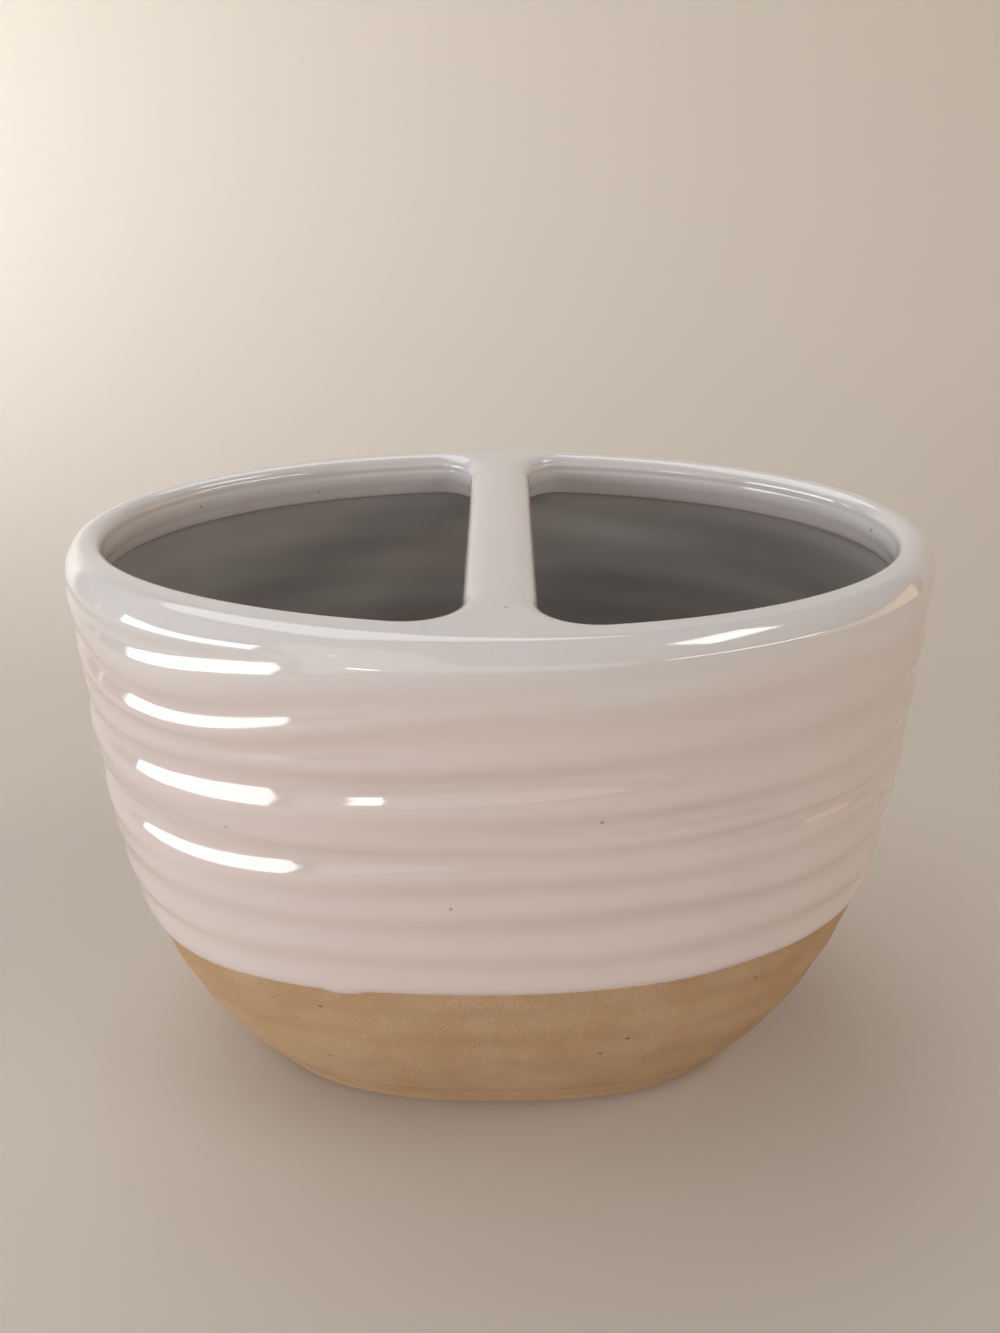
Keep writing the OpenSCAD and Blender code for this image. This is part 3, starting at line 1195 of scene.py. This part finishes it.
class EffectGroups:
    """Node groups for the effects that both finishes share."""

    def __init__(self) -> None:
        """Builds each group once."""
        self.specks = self.build_specks()
        self.cloud = self.build_cloud()

    def start(self, name: str, values: dict[str, float],
              masks: tuple[str, ...]) -> tuple[NodePad, Node, Node]:
        """Starts a group that takes a place and values, and puts out masks.

        Args:
            name: Name of the group.
            values: Its inputs beside the place, each with its value.
            masks: Names of its outputs.

        Returns:
            A pad on its tree, its input node and its output node.
        """
        group = bpy.data.node_groups.new(name, "ShaderNodeTree")
        group.interface.new_socket("Vector", in_out="INPUT", socket_type="NodeSocketVector")
        for key, value in values.items():
            socket = group.interface.new_socket(key, in_out="INPUT", socket_type="NodeSocketFloat")
            socket.default_value = value
        for mask in masks:
            group.interface.new_socket(mask, in_out="OUTPUT", socket_type="NodeSocketFloat")
        pad = NodePad(group)
        return pad, pad.add("NodeGroupInput"), pad.add("NodeGroupOutput")

    def build_specks(self) -> bpy.types.NodeTree:
        """Builds the group for iron specks: sparse round dots of mixed sizes.

        Returns:
            The group.
        """
        jitter_scale, jitter_detail, jitter = 900.0, 2.0, 0.3 * MM
        smallest, spread = 0.35, 1.1
        sharp_from, sharp_to = 0.55, 1.15
        values = {"Spacing": 2.0 * MM, "Dot": 0.3 * MM, "Share": 0.2}
        pad, given, sent = self.start("iron_specks", values, ("Mask",))
        place, spacing, dot, share = given.outputs[:4]
        inputs = {"Vector": place, "Scale": jitter_scale, "Detail": jitter_detail}
        inputs = {0: pad.add("ShaderNodeTexNoise", inputs).outputs["Color"], 1: (jitter,) * 3, 2: place}
        shaken = pad.add("ShaderNodeVectorMath", inputs, operation="MULTIPLY_ADD").outputs[0]
        inputs = {"Vector": shaken, "Scale": pad.math("DIVIDE", 1.0, spacing)}
        cells = pad.add("ShaderNodeTexVoronoi", inputs, feature="F1")
        chance = pad.add("ShaderNodeSeparateColor", {"Color": cells.outputs["Color"]})
        chosen = pad.math("LESS_THAN", chance.outputs["Red"], share)
        reach = pad.math("MULTIPLY", cells.outputs["Distance"], spacing)
        swell = pad.math("MULTIPLY_ADD", chance.outputs["Green"], spread, smallest)
        near = pad.math("DIVIDE", reach, pad.math("MULTIPLY", swell, dot))
        soft = pad.math("SUBTRACT", 1.0, pad.ramp(near, sharp_from, sharp_to))
        pad.feed(sent, {"Mask": pad.math("MULTIPLY", soft, chosen)})
        return pad.tree

    def build_cloud(self) -> bpy.types.NodeTree:
        """Builds the group for slow and fine unevenness of a fired surface.

        Returns:
            The group.
        """
        low, high = 0.3, 0.7
        values = {"Patch": 12 * MM, "Grain": 0.5 * MM}
        pad, given, sent = self.start("fired_unevenness", values, ("Slow", "Fine"))
        place, patch, grain = given.outputs[:3]
        slow = pad.noise(place, pad.math("DIVIDE", 1.0, patch), detail=4.0, rough=0.55)
        fine = pad.noise(place, pad.math("DIVIDE", 1.0, grain), detail=3.0, rough=0.6)
        pad.feed(sent, {"Slow": pad.ramp(slow, low, high), "Fine": pad.ramp(fine, low, high)})
        return pad.tree


@dataclass(frozen=True)
class Specks:
    """One kind of speck: its spacing, its radius, the share of places with one, its strength."""

    spacing: float
    dot: float
    share: float
    strength: float


@dataclass(frozen=True)
class ShadedFinish:
    """What each finish starts from: a material with its shader and its places."""

    groups: EffectGroups

    def start(self, name: str) -> tuple[bpy.types.Material, NodePad, Node, Socket]:
        """Makes an empty material.

        Args:
            name: Name of the material.

        Returns:
            The material, a pad on its tree, its shader and the place on the piece.
        """
        material = bpy.data.materials.new(name)
        material.use_nodes = True
        pad = NodePad(material.node_tree)
        shader = pad.add("ShaderNodeBsdfPrincipled")
        pad.add("ShaderNodeOutputMaterial", {"Surface": shader.outputs["BSDF"]})
        return material, pad, shader, pad.add("ShaderNodeTexCoord").outputs["Object"]

    def specks(self, pad: NodePad, place: Socket, kind: Specks) -> Socket:
        """Places one kind of speck and returns its mask."""
        inputs = {"Vector": place, "Spacing": kind.spacing, "Dot": kind.dot, "Share": kind.share}
        return pad.add("ShaderNodeGroup", inputs, node_tree=self.groups.specks).outputs["Mask"]

    def cloud(self, pad: NodePad, place: Socket, patch: float, grain: float) -> tuple[Socket, Socket]:
        """Places the unevenness.

        Args:
            pad: Pad on the material's tree.
            place: Place on the piece.
            patch: Size of the slow patches.
            grain: Size of the fine grain.

        Returns:
            The slow and the fine mask.
        """
        inputs = {"Vector": place, "Patch": patch, "Grain": grain}
        node = pad.add("ShaderNodeGroup", inputs, node_tree=self.groups.cloud)
        return node.outputs["Slow"], node.outputs["Fine"]

    def bump(self, pad: NodePad, height: Socket, strength: float, distance: float) -> Socket:
        """Turns a height into the normal that the shader takes."""
        inputs = {"Strength": strength, "Distance": distance, "Height": height}
        return pad.add("ShaderNodeBump", inputs).outputs["Normal"]


@dataclass(frozen=True)
class CreamGlaze(ShadedFinish):
    """Glossy pinkish cream glaze: pooled in the grooves with painted shade there, painted cool light from
    above near the top, thin on the edges.
    """

    body: Colour = (0.70, 0.60, 0.565)
    # The lip colour is the body colour with painted cool light from above: lighter and bluer over the lip
    # and the bar.
    lip: Colour = (0.69, 0.66, 0.64)
    # The pooled colour is also the colour of the painted shade.
    pooled_and_shaded: Colour = (0.60, 0.49, 0.455)
    thinned: Colour = (0.60, 0.47, 0.37)
    speck: Colour = (0.16, 0.10, 0.07)
    large: Specks = Specks(6.0 * MM, 0.26 * MM, 0.30, 0.5)
    small: Specks = Specks(2.1 * MM, 0.11 * MM, 0.12, 0.4)
    patch: float = 14 * MM
    grain: float = 1.1 * MM
    # Heights between which the painted cool top light comes in, with a slow sway.
    painted_top_light_from: float = 77 * MM
    painted_top_light_to: float = 86 * MM
    painted_top_light_sway: float = 5 * MM
    pool_and_shade_strength: float = 0.30
    patch_strength: float = 0.16
    patch_shade: float = 0.86
    thin_strength: float = 0.45
    broken_from: float = 0.35
    broken_to: float = 0.95
    roughness: float = 0.06
    patch_roughness: float = 0.04
    thin_roughness: float = 0.07
    refraction: float = 1.58
    gloss_coat: float = 0.6
    peel_scale: float = 420.0
    wave_scale: float = 75.0
    peel_height: float = 0.16
    pit_depth: float = 0.5
    bump_strength: float = 0.35
    bump_distance: float = 0.22 * MM
    name: str = "cream_glaze"

    def build(self) -> bpy.types.Material:
        """Builds the glaze's material.

        Returns:
            The material.
        """
        material, pad, shader, place = self.start(self.name)
        slow, fine = self.cloud(pad, place, self.patch, self.grain)
        pool, thin = (pad.add("ShaderNodeAttribute", attribute_name=mask).outputs["Fac"]
                      for mask in ("pool", "thin"))
        z = pad.add("ShaderNodeSeparateXYZ", {0: place}).outputs["Z"]
        # Painted cool light from above: the colour turns lighter and bluer towards the top.
        high = pad.ramp(pad.math("MULTIPLY_ADD", slow, self.painted_top_light_sway, z), self.painted_top_light_from, self.painted_top_light_to)
        colour = pad.mix(high, self.body, self.lip)
        # Darker where the glaze pools, with painted shade in the grooves, under the lip and inside.
        colour = pad.tint(colour, pool, self.pool_and_shade_strength, self.pooled_and_shaded)
        colour = pad.tint(colour, slow, self.patch_strength, tuple(c * self.patch_shade for c in self.body))
        broken = pad.math("MULTIPLY", thin, pad.ramp(fine, self.broken_from, self.broken_to))
        colour = pad.tint(colour, broken, self.thin_strength, self.thinned)
        large, small = self.specks(pad, place, self.large), self.specks(pad, place, self.small)
        colour = pad.tint(colour, large, self.large.strength, self.speck)
        colour = pad.tint(colour, small, self.small.strength, self.speck)
        gloss = pad.math("MULTIPLY_ADD", slow, self.patch_roughness, self.roughness)
        peel, wave = pad.noise(place, self.peel_scale), pad.noise(place, self.wave_scale)
        height = pad.math("MULTIPLY_ADD", peel, self.peel_height, wave)
        pits = pad.math("SUBTRACT", height, pad.math("MULTIPLY", small, self.pit_depth))
        pad.feed(shader, {
            "Base Color": colour,
            "Roughness": pad.math("MULTIPLY_ADD", thin, self.thin_roughness, gloss),
            "Normal": self.bump(pad, pits, self.bump_strength, self.bump_distance),
            "IOR": self.refraction,
            "Coat Weight": self.gloss_coat,
            "Coat Roughness": self.roughness,
        })
        return material


@dataclass(frozen=True)
class ShadedLinerGlaze(CreamGlaze):
    """The same glaze inside the holder, made darker and greyer as painted shade."""

    # Darker copies of the glaze's colours, as painted shade inside the holder.
    body: Colour = (0.43, 0.405, 0.38)
    lip: Colour = (0.42, 0.40, 0.38)
    pooled_and_shaded: Colour = (0.35, 0.32, 0.295)
    thinned: Colour = (0.41, 0.36, 0.31)
    name: str = "liner_glaze"


@dataclass(frozen=True)
class BareClay(ShadedFinish):
    """Matt bare stoneware: warm tan, gritty, with iron specks and small pits."""

    body: Colour = (0.47, 0.30, 0.17)
    pale: Colour = (0.53, 0.36, 0.22)
    warm: Colour = (0.40, 0.235, 0.12)
    speck: Colour = (0.12, 0.065, 0.035)
    grain_colour: Colour = (0.66, 0.54, 0.40)
    grit: Specks = Specks(1.0 * MM, 0.16 * MM, 0.35, 0.25)
    dust: Specks = Specks(0.9 * MM, 0.08 * MM, 0.22, 0.35)
    dark: Specks = Specks(3.6 * MM, 0.28 * MM, 0.32, 0.72)
    patch: float = 9 * MM
    grain: float = 0.42 * MM
    wipe_stretch: Triple = (0.5, 0.5, 1.9)
    wipe_scale: float = 260.0
    wipe_from: float = 0.35
    wipe_to: float = 0.7
    wipe_strength: float = 0.12
    grain_strength: float = 0.22
    roughness: float = 0.78
    grain_roughness: float = 0.12
    refraction: float = 1.45
    specular: float = 0.3
    grit_height: float = 0.5
    wipe_height: float = 0.3
    pit_depth: float = 0.8
    bump_strength: float = 0.6
    bump_distance: float = 0.12 * MM

    def build(self) -> bpy.types.Material:
        """Builds the clay's material.

        Returns:
            The material.
        """
        material, pad, shader, place = self.start("bare_clay")
        slow, fine = self.cloud(pad, place, self.patch, self.grain)
        stretched = pad.add("ShaderNodeMapping", {"Vector": place, "Scale": self.wipe_stretch}).outputs[0]
        lines = pad.noise(stretched, self.wipe_scale, detail=4.0, rough=0.6)
        wiped = pad.ramp(lines, self.wipe_from, self.wipe_to)
        grit, dark, dust = (self.specks(pad, place, kind) for kind in (self.grit, self.dark, self.dust))
        colour = pad.mix(slow, self.body, self.pale)
        colour = pad.tint(colour, wiped, self.wipe_strength, self.warm)
        colour = pad.tint(colour, fine, self.grain_strength, self.warm)
        colour = pad.tint(colour, grit, self.grit.strength, self.grain_colour)
        colour = pad.tint(colour, dust, self.dust.strength, self.speck)
        colour = pad.tint(colour, dark, self.dark.strength, self.speck)
        gritty = pad.math("MULTIPLY_ADD", grit, self.grit_height, fine)
        ridged = pad.math("MULTIPLY_ADD", wiped, self.wipe_height, gritty)
        pitted = pad.math("SUBTRACT", ridged, pad.math("MULTIPLY", dark, self.pit_depth))
        pad.feed(shader, {
            "Base Color": colour,
            "Roughness": pad.math("MULTIPLY_ADD", fine, self.grain_roughness, self.roughness),
            "Normal": self.bump(pad, pitted, self.bump_strength, self.bump_distance),
            "IOR": self.refraction,
            "Specular IOR Level": self.specular,
        })
        return material


@dataclass(frozen=True)
class PalePaint(ShadedFinish):
    """Plain pale finish of the floor, which isn't part of the object."""

    colour: Colour = (0.60, 0.54, 0.475)
    roughness: float = 0.7
    specular: float = 0.2

    def build(self) -> bpy.types.Material:
        """Builds the floor's material.

        Returns:
            The material.
        """
        material, pad, shader, _ = self.start("pale_floor")
        pad.feed(shader, {
            "Base Color": self.colour,
            "Roughness": self.roughness,
            "Specular IOR Level": self.specular,
        })
        return material


@dataclass
class Holder:
    """The whole toothbrush holder: its clay, its coats of glaze and their finishes."""

    sizes: Sizes
    groups: EffectGroups

    def build(self) -> list[Piece]:
        """Builds every piece and gives it its finish and its body.

        Returns:
            The pieces.
        """
        form = PotForm(self.sizes)
        skin = GlazedSkin(form)
        skin.grow()
        clay = BareClay(self.groups).build()
        glaze = CreamGlaze(self.groups).build()
        # The inside gets a copy of the glaze with painted shade.
        shaded_liner = ShadedLinerGlaze(self.groups).build()
        pieces = [
            self.dress(BaseSlab(form).build(), clay, "base_slab"),
            self.dress(ThrownWall(form).build(), clay, "body_wall"),
            self.dress(ClayCore(skin, Part.LIP, "lip_clay").build(), clay, "rim_lip"),
            self.dress(ClayCore(skin, Part.BAR, "bar_clay").build(), clay, "divider_bar"),
        ]
        for part in Part:
            coat = GlazeCoat(skin, part, part.name.lower() + "_coat")
            finish = shaded_liner if part is Part.LINER else glaze
            pieces.append(self.dress(coat.build(), finish, part.value))
        return pieces

    def dress(self, piece: Piece, material: bpy.types.Material, node: str) -> Piece:
        """Gives a piece its material and its place in the frame.

        Args:
            piece: The piece.
            material: Its material.
            node: The solid that it stands for.

        Returns:
            The piece.
        """
        piece.data.materials.append(material)
        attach(piece, "root")
        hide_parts(node)
        LOG.info("%s: %d faces, for %s", piece.name, len(piece.data.polygons), node)
        return piece


@dataclass(frozen=True)
class PhotoCamera:
    """Camera of the photograph, worked out from the holder's rim and sides."""

    image_height: float = 1333.0
    focal_pixels: float = 1061.0
    distance: float = 139.8 * MM
    height: float = 140.7 * MM
    pitch: float = 28.74
    sensor: float = 36.0
    nearest: float = 1 * MM
    farthest: float = 20.0

    def place(self) -> None:
        """Adds the camera and makes it the scene's."""
        data = bpy.data.cameras.new("photo_camera")
        data.sensor_width = self.sensor
        data.lens = self.focal_pixels * self.sensor / self.image_height
        data.clip_start = self.nearest
        data.clip_end = self.farthest
        camera = linked("photo_camera", data)
        camera.location = (0.0, -self.distance, self.height)
        camera.rotation_euler = (math.radians(90 - self.pitch), 0.0, 0.0)
        bpy.context.scene.camera = camera


HOLDER_MIDDLE = (0.0, 0.0, 60 * MM)


@dataclass(frozen=True)
class SoftLamp:
    """A rectangular lamp that faces the holder, placed by its direction seen from there.

    Angles are in degrees and sizes in metres. Azimuth 0 is the front, and below 0
    is the left.
    """

    name: str
    azimuth: float
    elevation: float
    reach: float
    width: float
    height: float
    radiance: float
    colour: Colour
    aim: Triple = HOLDER_MIDDLE
    spread: float = 180.0

    def build(self) -> None:
        """Adds the lamp. Its power is what gives its face the wanted radiance."""
        data = bpy.data.lights.new(self.name, "AREA")
        data.shape = "RECTANGLE"
        data.size = self.width
        data.size_y = self.height
        data.energy = math.pi * self.width * self.height * self.radiance
        data.color = self.colour
        data.spread = math.radians(self.spread)
        turn, rise = math.radians(self.azimuth), math.radians(self.elevation)
        away = Vector((math.sin(turn) * math.cos(rise), -math.cos(turn) * math.cos(rise), math.sin(rise)))
        lamp = linked(self.name, data)
        lamp.location = away * self.reach + Vector(HOLDER_MIDDLE)
        lamp.rotation_euler = (lamp.location - Vector(self.aim)).to_track_quat("Z", "Y").to_euler()


# Each lamp's azimuth, elevation, reach, width, height, radiance and colour. The last one
# is narrow and aims at the backdrop.
LAMPS = (
    SoftLamp("window", -64.5, 6, 0.80, 0.58, 0.27, 6.7, (0.97, 0.99, 1.0)),
    SoftLamp("small_window", -27, 11, 0.80, 0.09, 0.06, 8.0, (1.0, 0.99, 0.97)),
    SoftLamp("far_window", 50, 21, 0.80, 0.50, 0.08, 7.0, (1.0, 0.92, 0.84)),
    SoftLamp("high_window", 68, 56, 0.80, 0.25, 0.13, 7.0, (1.0, 0.99, 0.97)),
    SoftLamp("ceiling", -128, 66, 0.82, 0.95, 0.55, 2.15, (0.93, 0.96, 1.0)),
    SoftLamp("warm_room", 85, 9, 0.80, 0.70, 0.30, 1.2, (1.0, 0.64, 0.32)),
    SoftLamp("front_room", -8, 19, 0.80, 1.0, 0.60, 0.75, (1.0, 0.93, 0.90)),
    SoftLamp("wall_wash", -108, 8, 0.50, 0.30, 0.18, 3.0, (0.95, 0.98, 1.0), (-0.25, 0.28, 0.14), 80.0),
)


@dataclass(frozen=True)
class Studio:
    """Pale floor that sweeps up behind the holder, pale surroundings and soft lamps."""

    groups: EffectGroups
    half_width: float = 0.62
    front: float = -0.62
    bend_start: float = 0.10
    bend_radius: float = 0.18
    bend_steps: int = 24
    top: float = 0.36
    gap: float = 0.01 * MM
    pale: Colour = (0.80, 0.765, 0.72)
    light: Colour = (0.90, 0.86, 0.84)
    strength: float = 0.14

    def build(self) -> None:
        """Builds the sweep, the world and the lamps."""
        self.sweep()
        self.surround()
        for lamp in LAMPS:
            lamp.build()

    def sweep(self) -> None:
        """Builds the floor and its curve up to the upright backdrop."""
        bends = [QUARTER * k / self.bend_steps for k in range(self.bend_steps + 1)]
        profile = [(self.front, 0.0)]
        profile += [(self.bend_start + self.bend_radius * math.sin(a), self.bend_radius * (1 - math.cos(a)))
                    for a in bends]
        profile.append((self.bend_start + self.bend_radius, self.top))
        ends = (-self.half_width, self.half_width)
        points = np.array([(x, y, z - self.gap) for y, z in profile for x in ends])
        faces = [(2 * k, 2 * k + 1, 2 * k + 3, 2 * k + 2) for k in range(len(profile) - 1)]
        floor = mesh_object("floor", points, faces)
        floor.data.materials.append(PalePaint(self.groups).build())

    def surround(self) -> None:
        """Gives the world its plain pale light and its pale background."""
        world = bpy.data.worlds.new("pale_room")
        bpy.context.scene.world = world
        world.use_nodes = True
        pad = NodePad(world.node_tree)
        light = pad.add("ShaderNodeBackground", {"Color": self.light, "Strength": self.strength})
        shown = pad.add("ShaderNodeBackground", {"Color": self.pale, "Strength": 1.0})
        seen = pad.add("ShaderNodeLightPath").outputs["Is Camera Ray"]
        mixer = pad.add("ShaderNodeMixShader", {0: seen, 1: light.outputs[0], 2: shown.outputs[0]})
        pad.add("ShaderNodeOutputWorld", {"Surface": mixer.outputs[0]})


def main() -> None:
    """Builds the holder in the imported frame, with its camera and its studio."""
    logging.basicConfig(level=logging.INFO, format="%(message)s")
    bpy.context.scene.view_settings.view_transform = "Standard"
    PhotoCamera().place()
    groups = EffectGroups()
    pieces = Holder(Sizes.from_frame(), groups).build()
    Studio(groups).build()
    LOG.info("%d pieces", len(pieces))


if __name__ == "__main__":
    main()
